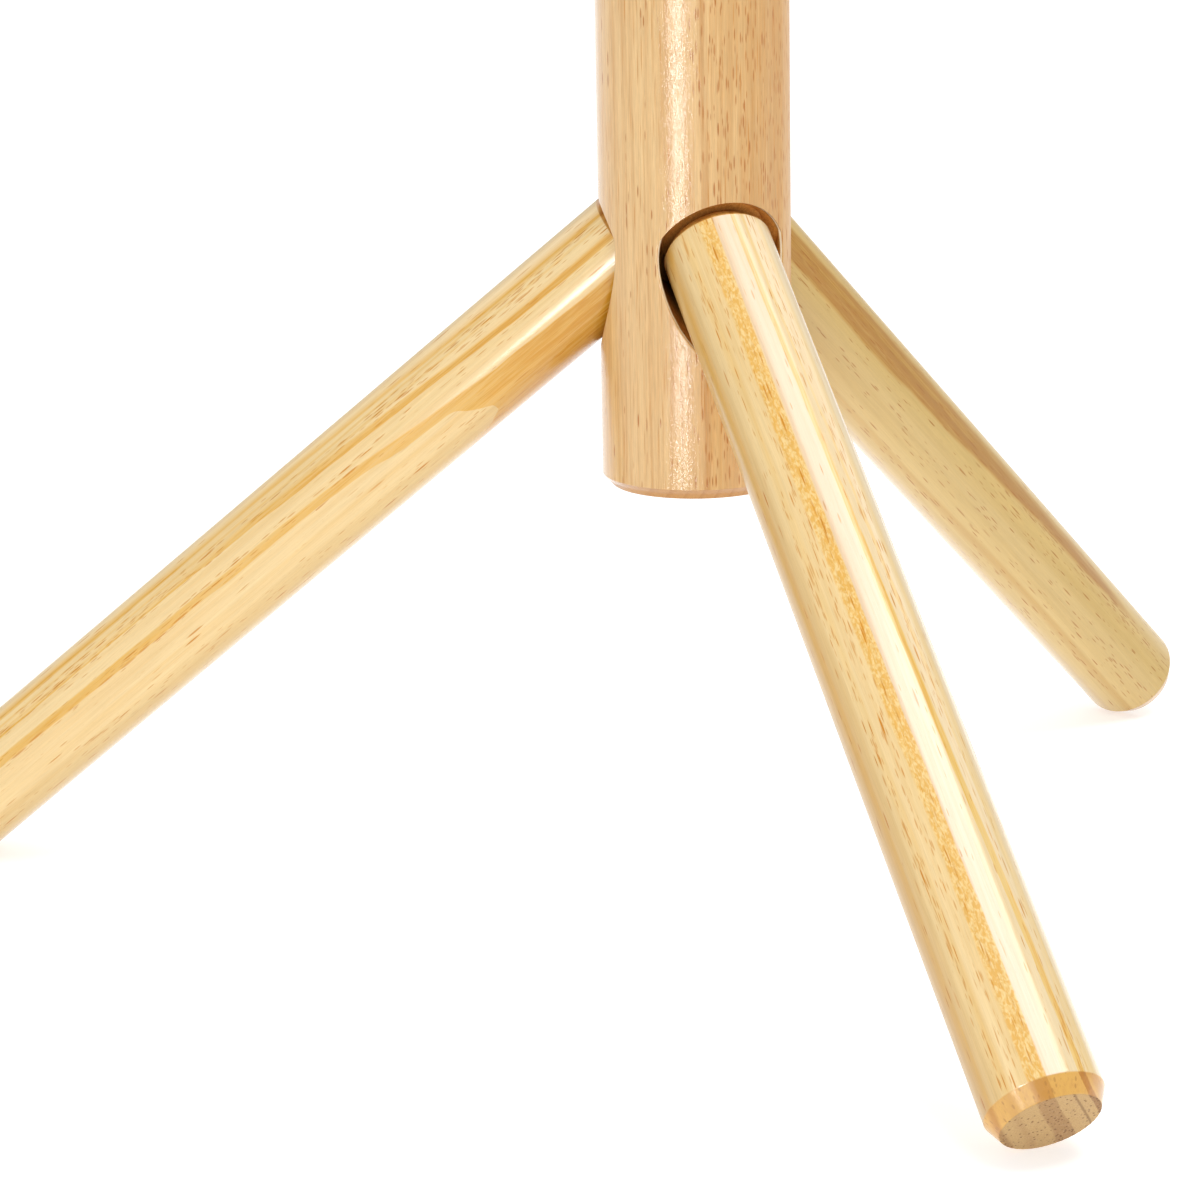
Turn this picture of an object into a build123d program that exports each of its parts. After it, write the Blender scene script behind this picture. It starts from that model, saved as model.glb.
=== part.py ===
from build123d import *
import math
import os

# ---------------------------------------------------------------------------
# Knock-down wooden stand base: a round column on three round dowel legs.
#
# Frame: millimetres, +Z up.  The origin is the centre of the column's top end
# face, on the column's axis, where the next column section or a head is
# screwed on.  The front leg points towards -Y; the model is mirror symmetric
# about the YZ plane.
#
# Leg coordinate "s": distance along a leg's axis, measured outwards and
# downwards from the point where the three leg axes meet on the column's axis.
# ---------------------------------------------------------------------------

# --- column ---
column_diameter = 50.0
column_length = 350.0
column_bottom_chamfer_r = 2.5      # taken off the radius
column_bottom_chamfer_h = 2.8      # taken off the height
column_top_chamfer = 1.0
hub_height = 77.0                  # leg axes meet this far above the column's lower end

# --- legs ---
leg_diameter = 28.5
leg_length = 260.0
leg_angle = 50.0                   # leg axis from the vertical, degrees
leg_azimuths = {"front": -90.0, "right": 30.0, "left": 150.0}
leg_foot_chamfer_r = 2.3
leg_foot_chamfer_l = 4.5
leg_seat_chamfer_r = 2.3
leg_seat_chamfer_l = 3.0
leg_edge_round = 0.5

# --- socket bored in the column for each leg ---
socket_diameter = 33.0             # oversize: a gap shows all round the leg
socket_floor = 16.6                # s of the flat socket floor
socket_floor_bevel = 3.0           # 45 degree bevel that keeps a wall between sockets
socket_rim_round = 0.6

# --- M8 leg fastening: washer, insert, hanger bolt ---
washer_od = 16.0
washer_id = 8.4
washer_thickness = 1.6
insert_od = 12.0
insert_root = 10.6
insert_length = 9.0
insert_pitch = 3.0
insert_slot_width = 1.6
insert_slot_depth = 1.4
thread_bore = 8.0                  # M8, inside of the insert
bolt_machine_od = 7.88             # M8, running clearance in the insert
bolt_reach = 9.4                   # machine thread beyond the leg's end
bolt_wood_length = 32.0
bolt_wood_crest = 8.0
bolt_wood_root = 5.8
bolt_wood_pitch = 4.0

# --- M10 joint in the column's top end ---
top_insert_od = 14.0
top_insert_root = 12.4
top_insert_length = 22.0
top_insert_bore = 10.0
top_stud_od = 9.9
top_stud_neck = 8.6
top_stud_neck_length = 1.5
top_stud_depth = 20.0
top_stud_free = 18.0

# --- fits ---
drill_clearance = 0.02             # radial, fastener's thread crest to its drilled hole

os.makedirs("parts", exist_ok=True)

hub = Vector(0, 0, -column_length + hub_height)
leg_seat = socket_floor + washer_thickness
leg_foot = leg_seat + leg_length
column_axis = Axis((0, 0, 0), (0, 0, 1))


def leg_direction(azimuth):
    """Unit vector from the hub out along a leg."""
    a, t = math.radians(azimuth), math.radians(leg_angle)
    return Vector(math.sin(t) * math.cos(a), math.sin(t) * math.sin(a), -math.cos(t))


def leg_axis(azimuth):
    return Axis(hub, leg_direction(azimuth))


def leg_section(azimuth):
    """Plane that holds the leg's axis: local x runs along s, local y is the radius."""
    a = math.radians(azimuth)
    side = Vector(-math.sin(a), math.cos(a), 0)
    return Plane(origin=hub, x_dir=leg_direction(azimuth), z_dir=side)


def square_to_leg(azimuth, s):
    """Plane square to the leg's axis at distance s, local z pointing outwards."""
    a = math.radians(azimuth)
    side = Vector(-math.sin(a), math.cos(a), 0)
    return Plane(origin=hub + leg_direction(azimuth) * s, x_dir=side, z_dir=leg_direction(azimuth))


def ridged(start, end, root, crest, pitch):
    """Profile points (along, radius) of a ridged shank between two stations."""
    count = max(1, int((end - start) / pitch))
    step = (end - start) / count
    points = []
    for i in range(count):
        x = start + i * step
        points += [(x, root), (x + 0.42 * step, root), (x + 0.62 * step, crest), (x + 0.72 * step, crest)]
    points.append((end, root))
    return points


# ---------------------------------------------------------------------------
# column: turned post, slanted blind sockets with drilled holes for the inserts
# ---------------------------------------------------------------------------
with BuildPart() as column:
    with BuildSketch(Plane.XY.offset(-column_length)):
        Circle(column_diameter / 2)
    extrude(amount=column_length)
    chamfer(
        column.edges().filter_by(GeomType.CIRCLE).sort_by(Axis.Z)[0],
        length=column_bottom_chamfer_r,
        length2=column_bottom_chamfer_h,
        reference=column.faces().sort_by(Axis.Z)[0],
    )
    chamfer(column.edges().filter_by(GeomType.CIRCLE).sort_by(Axis.Z)[-1], length=column_top_chamfer)
    for azimuth in leg_azimuths.values():
        with BuildSketch(leg_section(azimuth)):
            with BuildLine():
                Polyline(
                    (socket_floor, 0),
                    (socket_floor, socket_diameter / 2 - socket_floor_bevel),
                    (socket_floor + socket_floor_bevel, socket_diameter / 2),
                    (column_diameter * 1.5, socket_diameter / 2),
                    (column_diameter * 1.5, 0),
                    close=True,
                )
            make_face()
        revolve(axis=leg_axis(azimuth), revolution_arc=360, mode=Mode.SUBTRACT)
    rims = column.edges().filter_by(
        lambda e: e.geom_type not in (GeomType.CIRCLE, GeomType.LINE) and e.length > 40
    )
    fillet(rims, radius=socket_rim_round)
    for azimuth in leg_azimuths.values():
        with BuildSketch(square_to_leg(azimuth, socket_floor)):
            Circle(insert_od / 2 + drill_clearance)
        extrude(amount=-insert_length, mode=Mode.SUBTRACT)
    with BuildSketch(Plane.XY):
        Circle(top_insert_od / 2 + drill_clearance)
    extrude(amount=-(top_insert_length + 1.0), mode=Mode.SUBTRACT)
column.part.label = "column"
export_step(column.part, "parts/column.step")

# ---------------------------------------------------------------------------
# per leg: dowel leg, hanger bolt, washer, threaded insert
# ---------------------------------------------------------------------------
for side, azimuth in leg_azimuths.items():
    # dowel leg, square-cut, bevelled at both ends, drilled for the hanger bolt
    with BuildPart() as leg:
        with BuildSketch(leg_section(azimuth)):
            with BuildLine():
                Polyline(
                    (leg_seat, 0),
                    (leg_seat, leg_diameter / 2 - leg_seat_chamfer_r),
                    (leg_seat + leg_seat_chamfer_l, leg_diameter / 2),
                    (leg_foot - leg_foot_chamfer_l, leg_diameter / 2),
                    (leg_foot, leg_diameter / 2 - leg_foot_chamfer_r),
                    (leg_foot, 0),
                    close=True,
                )
            make_face()
        revolve(axis=leg_axis(azimuth), revolution_arc=360)
        fillet(leg.edges().filter_by(GeomType.CIRCLE), radius=leg_edge_round)
        with BuildSketch(square_to_leg(azimuth, leg_seat)):
            Circle(bolt_wood_crest / 2 + drill_clearance)
        extrude(amount=bolt_wood_length + 1.5, mode=Mode.SUBTRACT)
    leg.part.label = "leg_" + side
    export_step(leg.part, "parts/leg_" + side + ".step")

    # M8 hanger bolt: machine thread towards the column, coarse wood thread in the leg
    with BuildPart() as leg_bolt:
        with BuildSketch(leg_section(azimuth)):
            with BuildLine():
                Polyline(
                    (leg_seat - bolt_reach, 0),
                    (leg_seat - bolt_reach, bolt_machine_od / 2 - 0.9),
                    (leg_seat - bolt_reach + 0.9, bolt_machine_od / 2),
                    (leg_seat + 0.6, bolt_machine_od / 2),
                    *ridged(
                        leg_seat + 1.6,
                        leg_seat + bolt_wood_length - 4.0,
                        bolt_wood_root / 2,
                        bolt_wood_crest / 2,
                        bolt_wood_pitch,
                    ),
                    (leg_seat + bolt_wood_length, 0),
                    close=True,
                )
            make_face()
        revolve(axis=leg_axis(azimuth), revolution_arc=360)
    leg_bolt.part.label = "leg_bolt_" + side
    export_step(leg_bolt.part, "parts/leg_bolt_" + side + ".step")

    # M8 flat washer between the leg's end and the socket floor
    with BuildPart() as leg_washer:
        with BuildSketch(square_to_leg(azimuth, socket_floor)):
            Circle(washer_od / 2)
            Circle(washer_id / 2, mode=Mode.SUBTRACT)
        extrude(amount=washer_thickness)
        chamfer(
            leg_washer.edges().filter_by(GeomType.CIRCLE).group_by(SortBy.RADIUS)[-1],
            length=0.2,
        )
    leg_washer.part.label = "leg_washer_" + side
    export_step(leg_washer.part, "parts/leg_washer_" + side + ".step")

    # slotted M8 threaded insert, flush with the socket floor
    with BuildPart() as leg_insert:
        with BuildSketch(leg_section(azimuth)):
            with BuildLine():
                Polyline(
                    (socket_floor - insert_length, thread_bore / 2),
                    *ridged(
                        socket_floor - insert_length,
                        socket_floor - 1.5,
                        insert_root / 2,
                        insert_od / 2,
                        insert_pitch,
                    ),
                    (socket_floor, insert_root / 2),
                    (socket_floor, thread_bore / 2 + 0.4),
                    (socket_floor - 0.4, thread_bore / 2),
                    close=True,
                )
            make_face()
        revolve(axis=leg_axis(azimuth), revolution_arc=360)
        with BuildSketch(square_to_leg(azimuth, socket_floor)):
            Rectangle(insert_od + 1, insert_slot_width)
        extrude(amount=-insert_slot_depth, mode=Mode.SUBTRACT)
    leg_insert.part.label = "leg_insert_" + side
    export_step(leg_insert.part, "parts/leg_insert_" + side + ".step")

# ---------------------------------------------------------------------------
# slotted M10 insert, flush with the column's top end
# ---------------------------------------------------------------------------
with BuildPart() as top_insert:
    with BuildSketch(Plane.XZ):
        with BuildLine():
            Polyline(
                (top_insert_bore / 2, -top_insert_length),
                *[(r, z) for z, r in ridged(-top_insert_length, -2.5, top_insert_root / 2, top_insert_od / 2, insert_pitch)],
                (top_insert_root / 2, -1.6),
                (top_insert_od / 2, -1.6),
                (top_insert_od / 2, 0),
                (top_insert_bore / 2 + 0.5, 0),
                (top_insert_bore / 2, -0.5),
                close=True,
            )
        make_face()
    revolve(axis=column_axis, revolution_arc=360)
    with BuildSketch(Plane.XY):
        Rectangle(top_insert_od + 1, 2.0)
    extrude(amount=-1.6, mode=Mode.SUBTRACT)
top_insert.part.label = "top_insert"
export_step(top_insert.part, "parts/top_insert.step")

# ---------------------------------------------------------------------------
# M10 double-ended stud: lower end in the insert, upper end free
# ---------------------------------------------------------------------------
with BuildPart() as top_stud:
    with BuildSketch(Plane.XZ):
        with BuildLine():
            Polyline(
                (0, -top_stud_depth),
                (top_stud_od / 2 - 1.0, -top_stud_depth),
                (top_stud_od / 2, -top_stud_depth + 1.0),
                (top_stud_od / 2, -top_stud_neck_length),
                (top_stud_neck / 2, -top_stud_neck_length),
                (top_stud_neck / 2, 0),
                (top_stud_od / 2, 0),
                (top_stud_od / 2, top_stud_free - 1.2),
                (top_stud_od / 2 - 1.2, top_stud_free),
                (0, top_stud_free),
                close=True,
            )
        make_face()
    revolve(axis=column_axis, revolution_arc=360)
top_stud.part.label = "top_stud"
export_step(top_stud.part, "parts/top_stud.step")
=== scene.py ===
import math

import bmesh
import bpy
from mathutils import Matrix, Vector


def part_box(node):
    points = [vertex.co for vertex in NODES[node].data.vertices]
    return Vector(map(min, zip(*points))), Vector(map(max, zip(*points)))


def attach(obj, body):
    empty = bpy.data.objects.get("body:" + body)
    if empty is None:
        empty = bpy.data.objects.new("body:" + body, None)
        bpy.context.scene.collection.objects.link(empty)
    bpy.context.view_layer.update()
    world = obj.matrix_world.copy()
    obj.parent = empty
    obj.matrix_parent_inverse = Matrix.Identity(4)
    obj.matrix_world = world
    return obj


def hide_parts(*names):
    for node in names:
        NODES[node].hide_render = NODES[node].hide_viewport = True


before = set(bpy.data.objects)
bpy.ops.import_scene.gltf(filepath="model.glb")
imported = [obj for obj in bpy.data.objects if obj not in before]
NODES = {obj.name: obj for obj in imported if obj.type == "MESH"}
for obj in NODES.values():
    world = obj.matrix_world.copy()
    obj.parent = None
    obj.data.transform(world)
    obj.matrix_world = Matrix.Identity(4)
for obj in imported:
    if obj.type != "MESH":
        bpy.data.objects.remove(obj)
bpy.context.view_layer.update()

SIDES = {"front": -90.0, "right": 30.0, "left": 150.0}
HUB = Vector((0.0, 0.0, -0.273))          # where the leg axes meet
LEG_TILT = math.radians(50.0)
LEG_R = 14.25                              # mm
COL_R = 25.0                               # mm
FLOOR_Z = min(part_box("leg_" + s)[0].z for s in SIDES)

scene = bpy.context.scene


# ---------------------------------------------------------------------------
# camera
# ---------------------------------------------------------------------------
def rot_z(v, a):
    return Vector((v.x * math.cos(a) - v.y * math.sin(a), v.x * math.sin(a) + v.y * math.cos(a), v.z))


CAM_F = 4006.34            # focal length for a 1200 wide picture
CAM_D = 1030.918           # mm from the column's axis
CAM_H = 344.613            # mm above the floor
CAM_PITCH, CAM_ROLL, CAM_YAW = math.radians(14.469), math.radians(1.052), math.radians(-1.461)
CAM_AZ = math.radians(-90.0 + 68.95)       # turn of the camera round the column
ZH = 187.978               # mm, hub above the floor, as the camera was solved

fwd = Vector((math.sin(CAM_YAW) * math.cos(CAM_PITCH), math.cos(CAM_YAW) * math.cos(CAM_PITCH), -math.sin(CAM_PITCH)))
right = Vector((math.cos(CAM_YAW), -math.sin(CAM_YAW), 0.0))
down = fwd.cross(right)
r2 = math.cos(CAM_ROLL) * right + math.sin(CAM_ROLL) * down
d2 = -math.sin(CAM_ROLL) * right + math.cos(CAM_ROLL) * down
fwd, r2, d2 = (rot_z(v, CAM_AZ) for v in (fwd, r2, d2))
cam_pos = rot_z(Vector((0.0, -CAM_D, 0.0)), CAM_AZ) / 1000.0
cam_pos.z = HUB.z + (CAM_H - ZH) / 1000.0

cam_data = bpy.data.cameras.new("camera")
cam_data.sensor_width = 36.0
cam_data.lens = 36.0 * CAM_F / 1200.0
cam_data.clip_start, cam_data.clip_end = 0.05, 50.0
cam = bpy.data.objects.new("camera", cam_data)
scene.collection.objects.link(cam)
m = Matrix.Identity(4)
for i in range(3):
    m[i][0], m[i][1], m[i][2], m[i][3] = r2[i], -d2[i], -fwd[i], cam_pos[i]
cam.matrix_world = m
scene.camera = cam


# ---------------------------------------------------------------------------
# small helper for node trees; lengths inside the materials are in millimetres
# ---------------------------------------------------------------------------
class Tree:
    def __init__(self, name):
        self.mat = bpy.data.materials.new(name)
        self.mat.use_nodes = True
        self.nt = self.mat.node_tree
        self.nt.nodes.clear()
        self.out = self.nt.nodes.new("ShaderNodeOutputMaterial")
        self.bsdf = self.nt.nodes.new("ShaderNodeBsdfPrincipled")
        self.nt.links.new(self.bsdf.outputs[0], self.out.inputs[0])

    def put(self, value, socket):
        if isinstance(value, bpy.types.NodeSocket):
            self.nt.links.new(value, socket)
        elif value is not None:
            socket.default_value = value

    def local(self, origin, axes):
        """Object coordinates turned into local millimetres; axes are the local x, y, z directions."""
        tc = self.nt.nodes.new("ShaderNodeTexCoord")
        mp = self.nt.nodes.new("ShaderNodeMapping")
        mp.vector_type = "TEXTURE"
        mp.inputs["Location"].default_value = origin
        mp.inputs["Rotation"].default_value = Matrix(axes).transposed().to_euler("XYZ")
        mp.inputs["Scale"].default_value = (0.001, 0.001, 0.001)
        self.nt.links.new(tc.outputs["Object"], mp.inputs["Vector"])
        nm = self.nt.nodes.new("ShaderNodeVectorMath")
        nm.operation = "DOT_PRODUCT"
        self.nt.links.new(tc.outputs["Normal"], nm.inputs[0])
        nm.inputs[1].default_value = axes[2]
        self.endness = nm.outputs["Value"]
        return mp.outputs["Vector"]

    def split(self, v):
        n = self.nt.nodes.new("ShaderNodeSeparateXYZ")
        self.put(v, n.inputs[0])
        return n.outputs[0], n.outputs[1], n.outputs[2]

    def xyz(self, x, y, z):
        n = self.nt.nodes.new("ShaderNodeCombineXYZ")
        for v, s in zip((x, y, z), n.inputs):
            self.put(v, s)
        return n.outputs[0]

    def m(self, op, a, b=None, c=None, clamp=False):
        n = self.nt.nodes.new("ShaderNodeMath")
        n.operation = op
        n.use_clamp = clamp
        self.put(a, n.inputs[0])
        self.put(b, n.inputs[1])
        self.put(c, n.inputs[2])
        return n.outputs[0]

    def add(self, *xs):
        r = xs[0]
        for x in xs[1:]:
            r = self.m("ADD", r, x)
        return r

    def sub(self, a, b):
        return self.m("SUBTRACT", a, b)

    def mul(self, *xs):
        r = xs[0]
        for x in xs[1:]:
            r = self.m("MULTIPLY", r, x)
        return r

    def noise(self, v, scale=1.0, detail=2.0, rough=0.5, distortion=0.0, seed=0.0):
        n = self.nt.nodes.new("ShaderNodeTexNoise")
        n.noise_dimensions = "4D"
        self.put(v, n.inputs["Vector"])
        n.inputs["W"].default_value = seed
        n.inputs["Scale"].default_value = scale
        n.inputs["Detail"].default_value = detail
        n.inputs["Roughness"].default_value = rough
        n.inputs["Distortion"].default_value = distortion
        return n.outputs["Fac"]

    def stretched(self, p, across, along, **kw):
        """Noise whose grains are `across` mm wide and `along` mm long."""
        n = self.nt.nodes.new("ShaderNodeVectorMath")
        n.operation = "MULTIPLY"
        self.put(p, n.inputs[0])
        n.inputs[1].default_value = (1.0 / across, 1.0 / across, 1.0 / along)
        return self.noise(n.outputs[0], 1.0, **kw)

    def cells(self, p, across, along, seed=0.0):
        n = self.nt.nodes.new("ShaderNodeVectorMath")
        n.operation = "MULTIPLY_ADD"
        self.put(p, n.inputs[0])
        n.inputs[1].default_value = (1.0 / across, 1.0 / across, 1.0 / along)
        n.inputs[2].default_value = (seed, seed * 1.7, seed * 0.3)
        v = self.nt.nodes.new("ShaderNodeTexVoronoi")
        v.voronoi_dimensions = "3D"
        v.feature = "F1"
        self.nt.links.new(n.outputs[0], v.inputs["Vector"])
        v.inputs["Scale"].default_value = 1.0
        v.inputs["Randomness"].default_value = 1.0
        return v.outputs["Distance"], v.outputs["Color"]

    def curve(self, z, z0, z1, points):
        """Piecewise-linear line: distance along the leg in mm -> position across it in mm."""
        n = self.nt.nodes.new("ShaderNodeFloatCurve")
        c = n.mapping.curves[0]
        pts = [((a - z0) / (z1 - z0), b) for a, b in points]
        if pts[0][0] > 0.0:
            pts.insert(0, (0.0, pts[0][1]))
        if pts[-1][0] < 1.0:
            pts.append((1.0, pts[-1][1]))
        c.points[0].location = pts[0]
        c.points[1].location = pts[-1]
        for q in pts[1:-1]:
            c.points.new(*q)
        n.mapping.use_clip = False
        n.mapping.update()
        self.put(self.m("MULTIPLY", self.sub(z, z0), 1.0 / (z1 - z0), clamp=True), n.inputs["Value"])
        return self.m("MULTIPLY_ADD", n.outputs[0], 2.0 * LEG_R, -LEG_R)

    def dashes(self, p, across, along, radius, density, seed=0.0):
        """Slim pointed marks, one per cell at most; density 0..1 picks how many cells carry one."""
        dist, col = self.cells(p, across, along, seed)
        r, g, b = self.split(col)
        on = self.step(self.sub(density, r), 0.0, 0.06)
        size = self.m("MULTIPLY_ADD", g, 0.7 * radius, 0.5 * radius)
        return self.mul(self.step(dist, self.mul(size, 0.45), size, 1.0, 0.0), on), b

    def hump(self, x, centre, half):
        return self.step(self.m("ABSOLUTE", self.sub(x, centre)), 0.0, half, 1.0, 0.0)

    def most(self, *xs):
        r = xs[0]
        for x in xs[1:]:
            r = self.m("MAXIMUM", r, x)
        return r

    def step(self, x, lo, hi, to_lo=0.0, to_hi=1.0):
        n = self.nt.nodes.new("ShaderNodeMapRange")
        n.interpolation_type = "SMOOTHSTEP"
        self.put(x, n.inputs["Value"])
        self.put(lo, n.inputs["From Min"])
        self.put(hi, n.inputs["From Max"])
        n.inputs["To Min"].default_value = to_lo
        n.inputs["To Max"].default_value = to_hi
        return n.outputs["Result"]

    def band(self, x, lo, hi, soft_lo, soft_hi):
        return self.mul(self.step(x, lo - soft_lo, lo + soft_lo), self.step(x, hi - soft_hi, hi + soft_hi, 1.0, 0.0))

    def mix(self, fac, a, b, mode="MIX"):
        n = self.nt.nodes.new("ShaderNodeMix")
        n.data_type = "RGBA"
        n.blend_type = mode
        n.clamp_factor = True
        self.put(fac, n.inputs[0])
        self.put(a if isinstance(a, bpy.types.NodeSocket) else (*a, 1.0), n.inputs[6])
        self.put(b if isinstance(b, bpy.types.NodeSocket) else (*b, 1.0), n.inputs[7])
        return n.outputs[2]

    def gain(self, colour, factor):
        """colour times a number that is about 1"""
        n = self.nt.nodes.new("ShaderNodeVectorMath")
        n.operation = "SCALE"
        self.put(colour, n.inputs[0])
        self.put(factor, n.inputs["Scale"])
        return n.outputs[0]

    def tint(self, colour, rgb):
        n = self.nt.nodes.new("ShaderNodeVectorMath")
        n.operation = "MULTIPLY"
        self.put(colour, n.inputs[0])
        n.inputs[1].default_value = rgb
        return n.outputs[0]

    def bump(self, height, distance_mm, strength=1.0, normal=None):
        n = self.nt.nodes.new("ShaderNodeBump")
        n.inputs["Strength"].default_value = strength
        n.inputs["Distance"].default_value = distance_mm / 1000.0
        self.put(height, n.inputs["Height"])
        self.put(normal, n.inputs["Normal"])
        return n.outputs[0]


TINT_COLUMN = (0.89, 0.83, 0.67)
# tints of the legs; the back (right) leg's tint is much darker: painted shade
LEG_TINT_WITH_PAINTED_SHADE = {"front": (1.0, 0.99, 0.90), "left": (1.0, 0.98, 0.90), "right": (0.80, 0.75, 0.52)}


def srgb(r, g, b):
    def f(c):
        c /= 255.0
        return c / 12.92 if c <= 0.04045 else ((c + 0.055) / 1.055) ** 2.4
    return f(r), f(g), f(b)


def leg_dir(side):
    a = math.radians(SIDES[side])
    return Vector((math.sin(LEG_TILT) * math.cos(a), math.sin(LEG_TILT) * math.sin(a), -math.cos(LEG_TILT)))


def leg_axes(side):
    """Local x across the leg, local y out of the face that shows in the main view, local z along the leg."""
    d = leg_dir(side)
    toward = cam_pos - (HUB + d * 0.15)
    e2 = (toward - toward.dot(d) * d).normalized()
    e1 = e2.cross(d).normalized()
    return e1, e2, d


# ---------------------------------------------------------------------------
# materials: pale dowel wood of the legs
# ---------------------------------------------------------------------------
def at(t):
    """Position across a leg, 0 at one edge and 1 at the other, in mm from its axis."""
    return (2.0 * t - 1.0) * LEG_R


def pale_wood(side):
    t = Tree("pale_wood_" + side)
    e1, e2, d = leg_axes(side)
    seed = {"front": 3.1, "right": 11.7, "left": 27.3}[side]
    p = t.local(HUB, (e1, e2, d))
    x, y, z = t.split(p)

    # slow waviness of the rings and a fine one of their edges, in mm; the rings lean as they go through the leg
    depth = t.sub(y, 11.0)
    wave = t.mul(t.sub(t.stretched(p, 18.0, 70.0, detail=1.0, seed=seed), 0.5), t.add(0.5, t.mul(t.m("ABSOLUTE", depth), 0.16)))
    edge_wave = t.mul(t.sub(t.stretched(p, 2.2, 9.0, detail=2.0, seed=seed + 1), 0.5), 0.55)
    lean = t.mul(depth, {"front": 0.05, "left": 0.16, "right": 0.08}[side])
    q = t.add(x, wave, edge_wave, lean)

    streak = t.stretched(p, 2.2, 110.0, detail=3.0, rough=0.6, seed=seed + 2)
    fibre = t.stretched(p, 0.30, 10.0, detail=2.0, rough=0.6, seed=seed + 3)
    hair = t.stretched(p, 0.13, 4.0, detail=1.0, seed=seed + 4)
    broad = t.stretched(p, 6.0, 50.0, detail=1.5, seed=seed + 6)

    def stripe(points_lo, points_hi, soft_lo, soft_hi):
        lo = t.curve(z, 20.0, 280.0, points_lo)
        hi = t.curve(z, 20.0, 280.0, points_hi)
        return t.mul(t.step(t.sub(q, lo), -soft_lo, soft_lo), t.step(t.sub(q, hi), -soft_hi, soft_hi, 1.0, 0.0))

    worms = None
    if side == "front":
        band = stripe([(30, .42), (100, .42), (130, .43), (170, .45), (200, .46), (230, .45), (265, .455)],
                      [(30, .555), (90, .56), (140, .565), (180, .58), (220, .59), (250, .60), (270, .60)], 0.45, 0.16)
        line = stripe([(30, .715), (80, .735), (110, .745), (140, .755), (165, .77), (200, .79), (230, .815), (265, .835)],
                      [(30, .75), (80, .775), (110, .785), (140, .80), (180, .82), (200, .835), (230, .86), (265, .88)], 0.12, 0.18)
        line2 = stripe([(30, .80), (110, .84), (150, .86), (265, .925)], [(30, .82), (110, .86), (150, .885), (265, .945)], 0.15, 0.2)
        left = t.mul(t.band(q, at(.055), at(.115), 0.8, 0.5), 0.55)
        faint = t.mul(t.band(q, at(.24), at(.30), 1.0, 0.6), 0.20)
        far = t.mul(t.band(q, at(.90), at(.935), 0.5, 0.3), 0.35)
        late = t.most(t.mul(band, 0.50), t.mul(line, 0.80), t.mul(line2, 0.40), left, faint, far)
        w = t.noise(t.xyz(x, y, t.mul(z, 0.42)), 1.65, 1.5, 0.5, 0.7, seed + 9)
        worms = t.mul(t.step(w, 0.44, 0.60), band)
        zone = t.most(t.mul(t.hump(q, at(.255), 1.5), 0.80), t.mul(t.hump(q, at(.385), 1.5), 0.65), t.mul(t.hump(q, at(.87), 1.8), 0.55),
                      t.mul(t.hump(q, at(.50), 1.6), 0.40), 0.07)
        pale_a, pale_b = srgb(238, 210, 160), srgb(229, 195, 138)
        orange, deep, mark = srgb(234, 186, 84), srgb(214, 154, 44), srgb(204, 132, 4)
    elif side == "left":
        sa = stripe([(30, .09), (60, .085), (90, .07), (120, .055), (130, .042), (150, .055), (190, .045)],
                    [(30, .14), (70, .125), (100, .105), (130, .09), (150, .085), (190, .09)], 0.8, 0.35)
        sb = stripe([(30, .315), (60, .31), (75, .29), (90, .265), (110, .235), (130, .21), (140, .205), (170, .215), (280, .215)],
                    [(30, .385), (60, .37), (80, .34), (100, .32), (120, .295), (135, .285), (150, .26), (280, .26)], 0.40, 0.16)
        c_lo = [(30, .615), (60, .62), (68, .60), (80, .565), (90, .545), (100, .52), (110, .485), (120, .46), (140, .44), (160, .435), (190, .415), (280, .37)]
        sc = stripe(c_lo, [(30, .99), (75, .99), (75.6, .83), (78, .79), (82, .72), (85.5, .65), (90, .64), (100, .63), (105, .61), (110, .58), (120, .55),
                           (140, .52), (160, .52), (175, .50), (190, .495), (280, .46)], 0.28, 0.14)
        sd = stripe([(30, .62), (74.5, .62), (75, .86), (78, .90), (82, .93), (90, .945), (110, .955), (130, .98), (150, .998)],
                    [(30, .999), (280, .999)], 0.14, 0.2)
        se = t.mul(t.band(q, at(.70), at(.73), 0.5, 0.4), 0.12)
        near = t.step(z, 40.0, 100.0, 1.0, 0.0)
        sf = t.most(t.mul(t.band(q, at(.135), at(.155), 0.25, 0.2), 0.35), t.mul(t.band(q, at(.19), at(.215), 0.3, 0.2), 0.30))
        late = t.most(sf, t.mul(sa, 0.78), t.mul(sb, 0.82), t.mul(t.most(sc, sd), t.add(0.70, t.mul(near, 0.16))), t.mul(sd, t.step(q, 10.5, 13.5, 0.0, 0.95)), se)
        zone = t.most(t.mul(t.hump(q, at(.22), 1.9), 0.62), t.mul(t.hump(q, at(.17), 1.6), 0.50), t.mul(t.hump(q, at(.41), 1.0), 0.35),
                      t.mul(t.hump(q, at(.48), 1.4), t.step(z, 100.0, 145.0, 0.0, 0.7)), t.mul(t.hump(q, at(.84), 3.4), 0.20), 0.06)
        pale_a, pale_b = srgb(240, 213, 162), srgb(233, 200, 143)
        orange, deep, mark = srgb(228, 176, 68), srgb(206, 142, 28), srgb(202, 132, 6)
    else:
        r1 = stripe([(50, .16), (130, .165), (160, .17), (180, .20), (270, .20)], [(50, .23), (130, .23), (150, .25), (180, .28), (270, .27)], 0.9, 0.6)
        r2 = stripe([(50, .73), (90, .73), (100, .75), (130, .77), (140, .79), (160, .81), (180, .84), (200, .845), (220, .86), (250, .89)],
                    [(50, .92), (130, .935), (230, .93), (255, .90)], 0.55, 0.35)
        r3 = t.mul(t.band(q, at(.03), at(.06), 0.4, 0.6), 0.3)
        fade = t.step(z, 225.0, 258.0, 1.0, 0.15)
        late = t.most(t.mul(r1, 0.42), t.mul(r2, t.mul(fade, 0.92)), r3)
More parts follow.
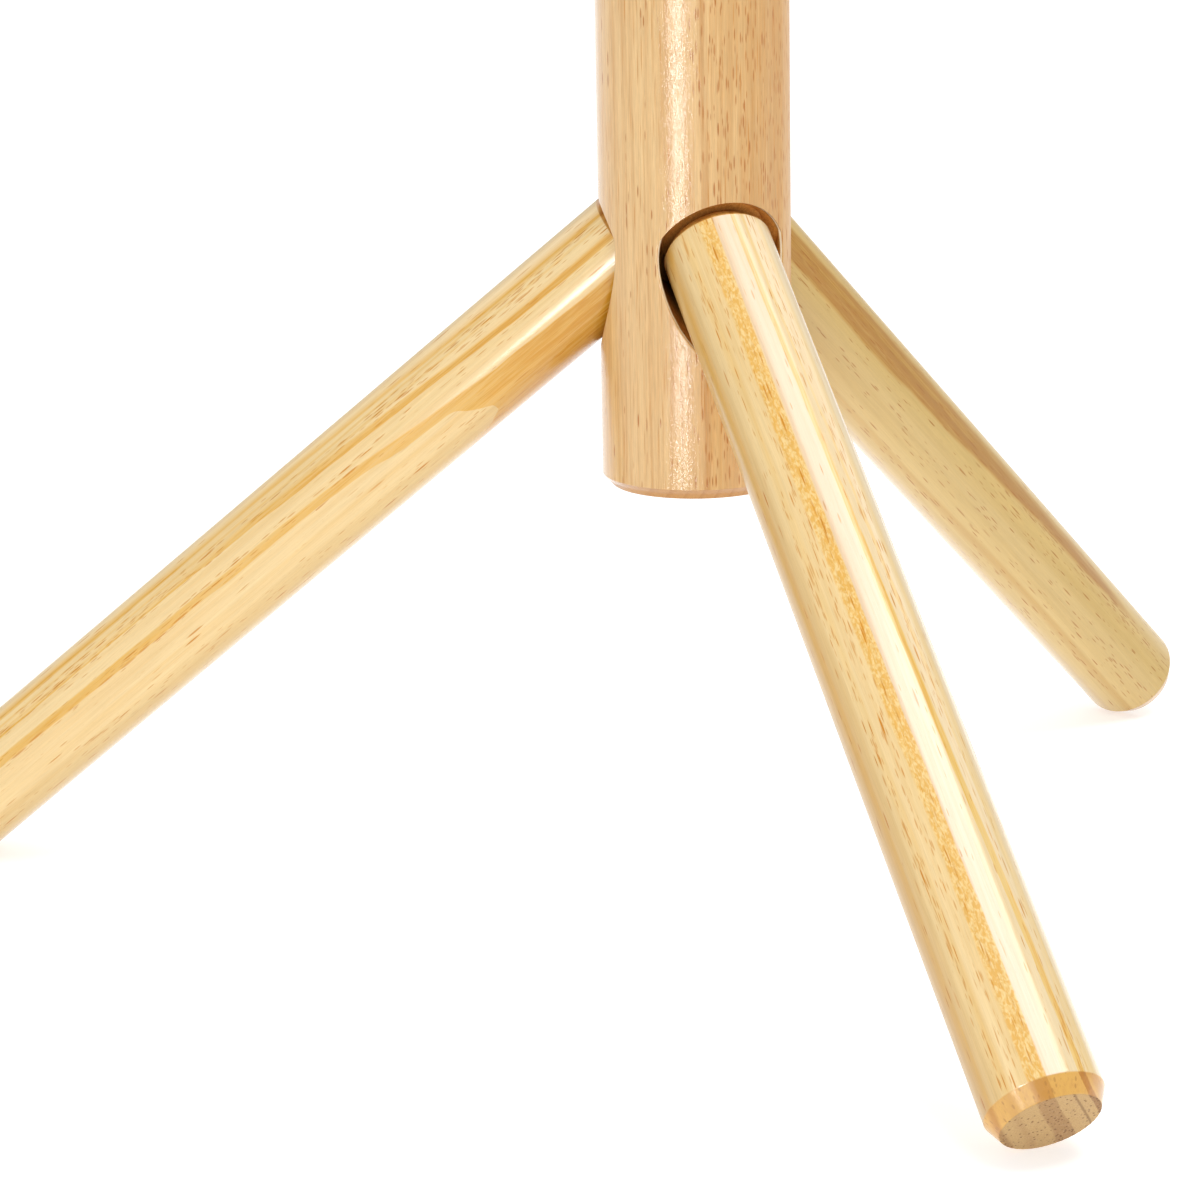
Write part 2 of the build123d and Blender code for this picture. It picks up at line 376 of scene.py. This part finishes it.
        zone = t.most(t.mul(t.hump(q, at(.50), 2.4), 0.34), t.mul(t.hump(q, at(.68), 1.6), 0.34), t.mul(t.hump(q, at(.20), 2.0), 0.30),
                      t.mul(t.hump(q, at(.84), 2.6), 0.45), 0.10)
        # the back leg's tones, darker than the other legs': painted shade
        pale_a, pale_b = srgb(232, 204, 152), srgb(222, 191, 134)
        orange, deep, mark = srgb(208, 160, 72), srgb(190, 136, 48), srgb(184, 120, 10)

    # slim resin and vessel marks, thick where the zone says so
    dens = t.mul(zone, t.add(0.75, t.mul(t.sub(broad, 0.35), 3.0)))
    marks, mark_tone = t.dashes(p, 0.66, 8.0, 0.44, t.mul(dens, 1.35), seed)
    marks2, _b = t.dashes(p, 0.55, 4.6, 0.42, t.mul(dens, 1.35), seed + 40.0)
    marks = t.most(t.mul(marks, t.add(0.50, t.mul(mark_tone, 0.5))), t.mul(marks2, 0.60))
    pore = t.stretched(p, 0.15, 1.5, detail=1.0, seed=seed + 7)
    pores = t.step(pore, 0.64, 0.74)

    colour = t.mix(t.step(streak, 0.32, 0.70), pale_a, pale_b)
    late_var = t.m("MULTIPLY", late, t.add(1.0, t.mul(t.sub(streak, 0.5), 0.9), t.mul(t.sub(fibre, 0.5), 0.9)), clamp=True)
    colour = t.mix(late_var, colour, orange)
    colour = t.mix(t.mul(t.step(late_var, 0.72, 1.0), 0.75), colour, deep)
    if worms is not None:
        colour = t.mix(t.mul(worms, 0.60), colour, srgb(224, 162, 52))
        colour = t.mix(t.mul(t.mul(band, t.step(w, 0.46, 0.36)), 0.45), colour, srgb(246, 222, 172))
    colour = t.mix(marks, colour, mark)
    colour = t.mix(t.mul(pores, 0.20), colour, srgb(196, 146, 84))
    colour = t.gain(colour, t.add(1.0, t.mul(t.sub(fibre, 0.5), 0.24), t.mul(t.sub(hair, 0.5), 0.12), t.mul(t.sub(broad, 0.5), 0.10)))

    if side == "front":
        # painted shade: the front leg's left side darker and more orange
        colour = t.mix(t.step(x, at(.04), at(.25), 1.0, 0.0), colour, t.tint(colour, (0.71, 0.61, 0.42)))
        # painted highlight: the base paler and bluer where the top softbox's reflection lies, outside the worm band
        colour = t.mix(t.mul(t.band(x, at(.555), at(.735), 0.5, 0.7), t.sub(1.0, band)), colour, t.tint(colour, (0.91, 0.90, 1.16)))
        # painted sheen: the front leg's right side paler and bluer, the tail of the highlight
        colour = t.mix(t.step(x, at(.72), at(.80)), colour, t.tint(colour, (0.93, 1.0, 1.22)))
    elif side == "left":
        # painted shade: the left leg's lower side darker and more orange
        colour = t.mix(t.step(x, at(.72), at(.96), 0.0, 1.0), colour, t.tint(colour, (0.78, 0.72, 0.55)))
    else:
        # painted shade: the back leg's right side darker
        colour = t.mix(t.step(x, at(.50), at(.85), 0.0, 0.8), colour, t.tint(colour, (0.88, 0.84, 0.64)))

    # end grain on the sawn ends and, partly, on their bevels
    end = t.m("ABSOLUTE", t.endness)
    bevel = t.step(end, 0.12, 0.34)
    face = t.step(end, 0.60, 0.92)
    fp = t.xyz(x, y, t.mul(z, 0.12))
    dot_d, dot_c = t.cells(fp, 0.95, 0.95, seed)
    dr, dg, db = t.split(dot_c)
    dots = t.mul(t.step(dot_d, 0.20, 0.36, 1.0, 0.0), t.step(t.sub(t.add(0.50, t.mul(late, 0.9)), dr), 0.0, 0.05))
    mottle = t.noise(fp, 1.1, 4.0, 0.65, 0.6, seed + 13)
    grit = t.noise(fp, 3.2, 2.0, 0.6, 0.3, seed + 15)
    end_pale, end_late, end_dark = srgb(194, 159, 104), srgb(154, 112, 66), srgb(108, 68, 26)
    end_col = t.mix(t.m("MINIMUM", t.mul(late, 1.35), 1.0), end_pale, end_late)
    end_col = t.mix(t.mul(t.step(mottle, 0.35, 0.75), 0.40), end_col, srgb(190, 152, 106))
    end_col = t.mix(t.mul(t.step(grit, 0.50, 0.68), 0.45), end_col, srgb(150, 108, 66))
    end_col = t.mix(t.mul(t.step(grit, 0.42, 0.28), 0.35), end_col, srgb(226, 198, 156))
    ring1 = t.mul(t.step(t.m("ABSOLUTE", t.sub(q, 6.9)), 0.08, 0.45, 1.0, 0.0), 0.55)
    ring2 = t.mul(t.step(t.m("ABSOLUTE", t.sub(q, 10.9)), 0.05, 0.40, 1.0, 0.0), 0.45)
    end_col = t.mix(t.most(ring1, ring2), end_col, end_dark)
    end_col = t.mix(t.mul(dots, 0.72), end_col, end_dark)
    bevel_col = t.mix(t.mul(late, 1.3), srgb(222, 172, 90), srgb(184, 122, 44))
    bevel_col = t.mix(t.mul(t.step(mottle, 0.40, 0.70), 0.45), bevel_col, srgb(206, 150, 84))
    bevel_col = t.mix(t.mul(dots, 0.5), bevel_col, srgb(168, 112, 56))
    bevel_col = t.mix(t.mul(t.step(fibre, 0.55, 0.75), 0.4), bevel_col, srgb(190, 132, 68))
    colour = t.mix(bevel, colour, bevel_col)
    # the tint darkens the whole back leg: painted shade
    colour = t.tint(colour, LEG_TINT_WITH_PAINTED_SHADE[side])
    colour = t.mix(face, colour, end_col)

    # relief: fibres, open marks, lacquer skin
    peel = t.noise(p, 0.9, 2.0, 0.6, 0.0, seed + 14)
    height = t.add(t.mul(fibre, 0.35), t.mul(hair, 0.15), t.mul(marks, -0.12), t.mul(peel, 0.5), t.mul(t.mul(face, grit), 1.4), t.mul(t.mul(face, dots), -2.5))
    normal = t.bump(height, 0.030)
    coat_normal = t.bump(t.add(peel, t.mul(fibre, 0.25), t.mul(marks, -0.2), t.mul(t.mul(face, grit), 1.0)), 0.012)
    rough = t.add(0.32, t.mul(t.sub(fibre, 0.5), 0.10), t.mul(marks, 0.12), t.mul(face, 0.30))

    b = t.bsdf.inputs
    t.put(colour, b["Base Color"])
    t.put(rough, b["Roughness"])
    t.put(normal, b["Normal"])
    t.put(coat_normal, b["Coat Normal"])
    b["IOR"].default_value = 1.5
    b["Specular IOR Level"].default_value = 0.2
    sheen = t.step(x, at(.45), at(.75), 0.95, 0.30) if side == "right" else t.step(x, at(.05), at(.25), 0.55, 0.95)
    t.put(t.mul(sheen, t.step(face, 0.0, 1.0, 1.0, 0.2)), b["Coat Weight"])
    b["Coat Roughness"].default_value = 0.15
    b["Coat IOR"].default_value = 1.52
    return t.mat


# ---------------------------------------------------------------------------
# materials: steamed beech of the column
# ---------------------------------------------------------------------------
def beech():
    t = Tree("beech_column")
    toward = Vector((cam_pos.x, cam_pos.y, 0.0)).normalized()
    e2 = toward
    d = Vector((0.0, 0.0, 1.0))
    e1 = e2.cross(d).normalized()
    e1 = -e1 if e1.dot(r2) < 0 else e1
    # right-handed set: x to the picture's right, z down so that x, y (towards the viewer), z agree
    axes = (e1, e2, e1.cross(e2))
    p = t.local(Vector((0, 0, 0)), axes)
    x, y, z = t.split(p)
    seed = 5.3

    wave = t.mul(t.sub(t.stretched(p, 30.0, 160.0, detail=1.0, seed=seed), 0.5), 5.0)
    ring_r = t.m("SQRT", t.add(t.m("POWER", t.sub(x, 62.0), 2.0), t.m("POWER", t.add(y, 20.0), 2.0)))
    ring = t.m("FRACT", t.mul(t.add(ring_r, wave), 1 / 3.4))
    ring_line = t.step(ring, 0.55, 0.97)
    ring_cut = t.step(ring, 0.97, 1.0, 1.0, 0.0)
    late = t.mul(ring_line, ring_cut)

    broad = t.stretched(p, 7.0, 260.0, detail=2.0, rough=0.55, seed=seed + 1)
    streak = t.stretched(p, 1.0, 45.0, detail=3.0, rough=0.6, seed=seed + 2)
    fibre = t.stretched(p, 0.42, 6.5, detail=2.0, rough=0.65, seed=seed + 3)
    hair = t.stretched(p, 0.12, 2.5, detail=1.0, seed=seed + 4)
    zone = t.stretched(p, 4.0, 60.0, detail=1.0, seed=seed + 7)
    # dark flecks crowd one side, long thin ones the other
    crowd = t.step(x, -5.0, 13.0, 0.12, 1.0)
    flecks, tone = t.dashes(p, 0.72, 5.4, 0.42, t.mul(crowd, t.add(0.62, t.mul(zone, 1.5))), 3.0)
    flecks = t.mul(flecks, t.add(0.55, t.mul(tone, 0.45)))
    long_marks, tone2 = t.dashes(p, 0.60, 17.0, 0.38, t.add(0.55, t.mul(t.sub(zone, 0.42), 2.4)), 9.0)
    grain = t.stretched(p, 0.55, 34.0, detail=3.0, rough=0.7, seed=seed + 8)
    long_marks = t.mul(long_marks, t.add(0.40, t.mul(tone2, 0.5)))

    light, mid, warm = srgb(240, 206, 158), srgb(229, 189, 136), srgb(214, 166, 108)
    colour = t.mix(t.step(broad, 0.35, 0.68), light, mid)
    colour = t.mix(t.mul(t.step(streak, 0.44, 0.70), 0.55), colour, warm)
    colour = t.mix(t.mul(late, 0.25), colour, srgb(214, 166, 108))
    lines = t.most(t.mul(t.hump(x, 2.6, 1.5), 0.75), t.mul(t.hump(x, 15.2, 0.9), 0.65), t.mul(t.hump(x, -15.6, 0.8), 0.30), t.mul(t.hump(x, 21.5, 2.6), 0.45))
    colour = t.mix(t.mul(lines, t.add(0.55, t.mul(t.sub(streak, 0.5), 1.6))), colour, srgb(200, 146, 84))
    # painted shade: the right side of the column darker
    colour = t.mix(t.step(x, 0.0, 20.0, 0.0, 0.62), colour, srgb(200, 150, 80))
    colour = t.mix(t.mul(t.step(grain, 0.50, 0.68), 0.50), colour, srgb(212, 158, 92))
    colour = t.mix(t.mul(t.step(grain, 0.46, 0.30), 0.40), colour, srgb(248, 220, 176))
    colour = t.mix(t.mul(long_marks, 0.88), colour, srgb(204, 134, 34))
    colour = t.mix(t.mul(flecks, 0.92), colour, srgb(182, 108, 4))
    colour = t.gain(colour, t.add(1.0, t.mul(t.sub(fibre, 0.5), 0.40), t.mul(t.sub(hair, 0.5), 0.22)))
    # bores: warmer raw wood, going near-black deeper in as painted shade, with a painted highlight on their rims
    radius = t.m("SQRT", t.add(t.mul(x, x), t.mul(y, y)))
    inside = t.step(radius, 23.4, 24.3, 1.0, 0.0)
    near_hub = t.step(t.m("ABSOLUTE", t.sub(t.m("ABSOLUTE", z), 273.0)), 44.0, 46.0, 1.0, 0.0)
    # painted highlight: a cream line along the rounded mouth of each bore
    painted_rim_highlight = t.mul(t.band(radius, 24.35, 24.82, 0.06, 0.04), near_hub)

    end = t.m("ABSOLUTE", t.endness)
    bevel = t.step(end, 0.25, 0.60)
    face = t.step(end, 0.85, 0.97)
    pores = t.step(t.noise(t.xyz(x, y, t.mul(z, 0.1)), 2.6, 1.0, 0.5, 0.3, seed + 9), 0.58, 0.70)
    angle = t.m("ARCTAN2", t.add(y, 20.0), t.sub(x, 62.0))
    rays = t.step(t.noise(t.xyz(t.mul(angle, 70.0), t.mul(ring_r, 0.12), 0.0), 1.0, 2.0, 0.6, 0.0, seed + 10), 0.55, 0.68)
    end_col = t.mix(t.mul(late, 0.8), srgb(206, 160, 112), srgb(172, 122, 76))
    end_col = t.mix(t.mul(pores, 0.45), end_col, srgb(150, 102, 62))
    end_col = t.mix(t.mul(rays, 0.35), end_col, srgb(226, 188, 142))
    colour = t.mix(t.mul(bevel, 0.92), colour, t.mix(0.6, end_col, srgb(188, 132, 62)))
    colour = t.mix(face, colour, end_col)
    colour = t.tint(colour, TINT_COLUMN)
    bore_colour_and_shade = t.mix(t.step(fibre, 0.35, 0.65), srgb(232, 164, 84), srgb(206, 134, 56))
    # painted shade: near-black deep inside the bores
    bore_colour_and_shade = t.mix(t.step(radius, 11.0, 22.5, 1.0, 0.0), bore_colour_and_shade, srgb(44, 22, 10))
    colour = t.mix(t.mul(inside, near_hub), colour, bore_colour_and_shade)
    # painted highlight on the bore rims
    colour = t.mix(t.mul(painted_rim_highlight, 0.85), colour, srgb(255, 240, 212))

    peel = t.noise(p, 1.05, 1.5, 0.6, 0.0, seed + 11)
    height = t.add(t.mul(fibre, 0.35), t.mul(hair, 0.40), t.mul(flecks, -0.25), t.mul(peel, 0.5), t.mul(t.mul(face, pores), -1.0))
    normal = t.bump(height, 0.030)
    coat_normal = t.bump(t.add(peel, t.mul(hair, 0.3), t.mul(flecks, -0.2)), 0.100)
    rough = t.add(0.36, t.mul(t.sub(fibre, 0.5), 0.10), t.mul(flecks, 0.12), t.mul(face, 0.22))

    b = t.bsdf.inputs
    t.put(colour, b["Base Color"])
    t.put(rough, b["Roughness"])
    t.put(normal, b["Normal"])
    t.put(coat_normal, b["Coat Normal"])
    b["IOR"].default_value = 1.5
    b["Specular IOR Level"].default_value = 0.2
    t.put(t.mul(t.step(x, 18.5, 23.0, 1.0, 0.12), t.sub(1.0, t.mul(inside, 0.8))), b["Coat Weight"])
    b["Coat Roughness"].default_value = 0.05
    b["Coat IOR"].default_value = 1.5
    return t.mat


# ---------------------------------------------------------------------------
# materials: zinc-plated steel
# ---------------------------------------------------------------------------
def zinc():
    t = Tree("zinc_plated_steel")
    p = t.local(Vector((0, 0, 0)), (Vector((1, 0, 0)), Vector((0, 1, 0)), Vector((0, 0, 1))))
    cloud = t.noise(p, 0.5, 4.0, 0.6, 0.8, 1.0)
    scratch = t.stretched(p, 0.25, 4.0, detail=3.0, seed=2.0)
    spangle, _c = t.cells(p, 1.1, 1.1, 3.0)
    colour = t.mix(t.step(cloud, 0.3, 0.7), srgb(196, 199, 202), srgb(168, 172, 178))
    colour = t.mix(t.mul(t.step(spangle, 0.2, 0.8), 0.35), colour, srgb(214, 214, 208))
    colour = t.mix(t.mul(t.step(scratch, 0.62, 0.75), 0.3), colour, srgb(130, 128, 124))
    b = t.bsdf.inputs
    t.put(colour, b["Base Color"])
    b["Metallic"].default_value = 1.0
    t.put(t.add(0.24, t.mul(cloud, 0.14), t.mul(t.step(scratch, 0.6, 0.75), 0.2)), b["Roughness"])
    t.put(t.bump(t.add(t.mul(cloud, 0.5), scratch), 0.01), b["Normal"])
    return t.mat


MAT_COLUMN = beech()
MAT_LEGS = {s: pale_wood(s) for s in SIDES}
MAT_ZINC = zinc()


def dress(node, material):
    ob = NODES[node]
    if not ob.material_slots:
        ob.data.materials.append(material)
    for s in ob.material_slots:
        s.material = material


dress("column", MAT_COLUMN)
for side in SIDES:
    dress("leg_" + side, MAT_LEGS[side])
    for kind in ("leg_bolt_", "leg_insert_", "leg_washer_"):
        dress(kind + side, MAT_ZINC)
dress("top_insert", MAT_ZINC)
dress("top_stud", MAT_ZINC)


# ---------------------------------------------------------------------------
# real helical threads in place of the CAD's smooth shanks (lengths in mm along the fastener's own axis)
# ---------------------------------------------------------------------------
def screw_rows(start, end, pitch, crest, depth, limit, along, crest_flat=0.125, root_flat=0.25, turns=64):
    """Rings of one threaded shank; each ring climbs with the helix and is cut off square at both ends."""
    flank = (1.0 - crest_flat - root_flat) / 2.0
    stations = (0.0, crest_flat, crest_flat + flank * 0.5, crest_flat + flank, crest_flat + flank + root_flat, crest_flat + 1.5 * flank + root_flat)

    def radius(phase):
        if phase < crest_flat:
            return crest
        if phase < crest_flat + flank:
            return crest - depth * (phase - crest_flat) / flank
        if phase < crest_flat + flank + root_flat:
            return crest - depth
        return crest - depth * (1.0 - phase) / flank

    rows = []
    k = -1
    while start + (k - 1) * pitch < end:
        for f in stations:
            rows.append((k + f, f))
        k += 1
    rings = []
    for turn, phase in rows:
        ring = []
        for j in range(turns):
            a = 2.0 * math.pi * j / turns
            h = start + pitch * (turn + j / turns)
            hc = min(max(h, start), end)
            r = min(radius(phase) if h == hc else crest - depth, limit(hc))
            ring.append((r * math.cos(a), r * math.sin(a), hc))
        rings.append(ring)
    return rings


def threaded(name, shanks, origin, axis):
    """One mesh object from several threaded shanks on one axis."""
    z_dir = Vector(axis).normalized()
    x_dir = z_dir.orthogonal().normalized()
    y_dir = z_dir.cross(x_dir)
    bm = bmesh.new()
    for rings in shanks:
        n = len(rings[0])
        grid = [[bm.verts.new(origin + (x_dir * v[0] + y_dir * v[1] + z_dir * v[2]) / 1000.0) for v in ring] for ring in rings]
        for i in range(len(grid) - 1):
            for j in range(n):
                # the ring's seam steps up by one pitch, so its last face joins the ring one turn on
                if j < n - 1:
                    quad = (grid[i][j], grid[i][j + 1], grid[i + 1][j + 1], grid[i + 1][j])
                else:
                    if i + 7 >= len(grid):
                        continue
                    quad = (grid[i][j], grid[i + 6][0], grid[i + 7][0], grid[i + 1][j])
                bm.faces.new(quad)
        bmesh.ops.remove_doubles(bm, verts=bm.verts[:], dist=2e-6)
        for end in (rings[0][0][2], rings[-1][0][2]):
            loop = [e for e in bm.edges if e.is_boundary and all(abs((v.co - origin).dot(z_dir) * 1000.0 - end) < 0.01 for v in e.verts)]
            if loop:
                bmesh.ops.contextual_create(bm, geom=loop)
    bmesh.ops.dissolve_degenerate(bm, dist=2e-6, edges=bm.edges[:])
    bmesh.ops.recalc_face_normals(bm, faces=bm.faces[:])
    mesh = bpy.data.meshes.new(name)
    bm.to_mesh(mesh)
    bm.free()
    for f in mesh.polygons:
        f.use_smooth = True
    mesh.set_sharp_from_angle(angle=math.radians(24.0))
    mesh.materials.append(MAT_ZINC)
    ob = bpy.data.objects.new(name, mesh)
    scene.collection.objects.link(ob)
    return ob


def stud_limit(h):
    r = 4.95
    r = min(r, 3.75 + (18.0 - h), 3.95 + (h + 20.0))
    return 4.30 if -1.5 <= h <= 0.0 else r


stud = threaded("top_stud_thread", [screw_rows(-20.0, 18.0, 1.5, 4.95, 0.88, stud_limit, "z")], Vector((0, 0, 0)), (0, 0, 1))
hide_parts("top_stud")
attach(stud, "column")

for side in SIDES:
    seat = 18.2
    machine = screw_rows(seat - 9.4, seat + 0.6, 1.25, 3.94, 0.74, lambda h: min(3.94, 3.04 + (h - seat + 9.4)), "s")
    wood = screw_rows(seat + 0.6, seat + 32.0, 4.0, 4.0, 1.1, lambda h: min(4.0, 2.9 + max(0.0, (h - seat - 0.6) * 0.6), max(0.4, (seat + 32.0 - h) * 0.9)), "s", 0.06, 0.50)
    bolt = threaded("leg_bolt_thread_" + side, [machine, wood], HUB, leg_dir(side))
    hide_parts("leg_bolt_" + side)
    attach(bolt, "leg_" + side)


# ---------------------------------------------------------------------------
# floor, light
# ---------------------------------------------------------------------------
def floor_material():
    t = Tree("studio_floor")
    tc = t.nt.nodes.new("ShaderNodeTexCoord")
    grain = t.noise(tc.outputs["Object"], 40.0, 3.0, 0.5, 0.0, 0.3)
    t.put(t.mix(t.step(grain, 0.2, 0.8), (0.59, 0.59, 0.59), (0.61, 0.61, 0.61)), t.bsdf.inputs["Base Color"])
    t.bsdf.inputs["Emission Color"].default_value = (1.0, 1.0, 1.0, 1.0)
    t.bsdf.inputs["Emission Strength"].default_value = 0.62
    t.bsdf.inputs["Roughness"].default_value = 0.9
    t.bsdf.inputs["Specular IOR Level"].default_value = 0.1
    return t.mat


bpy.ops.mesh.primitive_grid_add(x_subdivisions=8, y_subdivisions=8, size=16.0, location=(0, 0, FLOOR_Z - 0.0002))
floor = bpy.context.object
floor.name = "studio_floor"
floor.data.materials.append(floor_material())

world = bpy.data.worlds.new("studio")
scene.world = world
world.use_nodes = True
bg = world.node_tree.nodes["Background"]
bg.inputs[0].default_value = (1.0, 1.0, 1.0, 1.0)
bg.inputs[1].default_value = 0.54


def softbox(name, direction, distance, width, height, radiance, aim=HUB, across=None):
    """Rectangular light; direction and across are given as the camera sees them (x right, y away, z up)."""
    data = bpy.data.lights.new(name, "AREA")
    data.shape = "RECTANGLE"
    data.size, data.size_y = width, height
    data.energy = radiance * math.pi * width * height
    ob = bpy.data.objects.new(name, data)
    scene.collection.objects.link(ob)
    back = rot_z(Vector(direction), CAM_AZ).normalized()
    side = rot_z(Vector(across), CAM_AZ) if across else Vector((0, 0, 1)).cross(back)
    side = (side - side.dot(back) * back).normalized()
    up = back.cross(side)
    at_point = aim + back * distance
    mw = Matrix.Identity(4)
    for k in range(3):
        mw[k][0], mw[k][1], mw[k][2], mw[k][3] = side[k], up[k], back[k], at_point[k]
    ob.matrix_world = mw
    return ob


ACROSS = (-0.716, -0.435, 0.178)
TOP_AIM = HUB + rot_z(Vector((0.04, -0.10, -0.10)), CAM_AZ)
softbox("softbox_top_back", (0.235, 0.045, 0.970), 1.5, 1.02, 0.38, 4.2, aim=TOP_AIM, across=ACROSS)
softbox("softbox_top_front", (0.329, -0.161, 0.933), 1.5, 1.02, 0.38, 6.6, aim=TOP_AIM, across=ACROSS)
softbox("softbox_front", (-0.24, -0.97, 0.10), 1.7, 0.60, 1.2, 1.9)
softbox("softbox_left", (-0.80, -0.50, 0.33), 2.0, 1.3, 1.3, 0.6)
strip = softbox("strip_front", (-0.318, -0.948, 0.0), 0.5, 0.062, 0.44, 18.0, aim=HUB + Vector((0.0, 0.0, 0.034)))
strip.visible_diffuse = False          # a slim reflector: it shows in the lacquer and adds no light of its own
softbox("light_backdrop", (0.0, 0.0, 1.0), 2.2, 7.0, 3.6, 1.0, aim=HUB + rot_z(Vector((0.0, 3.0, 0.0)), CAM_AZ), across=(1, 0, 0))

scene.view_settings.view_transform = "Standard"
scene.view_settings.look = "None"
scene.view_settings.exposure = 0.0
scene.view_settings.gamma = 1.0
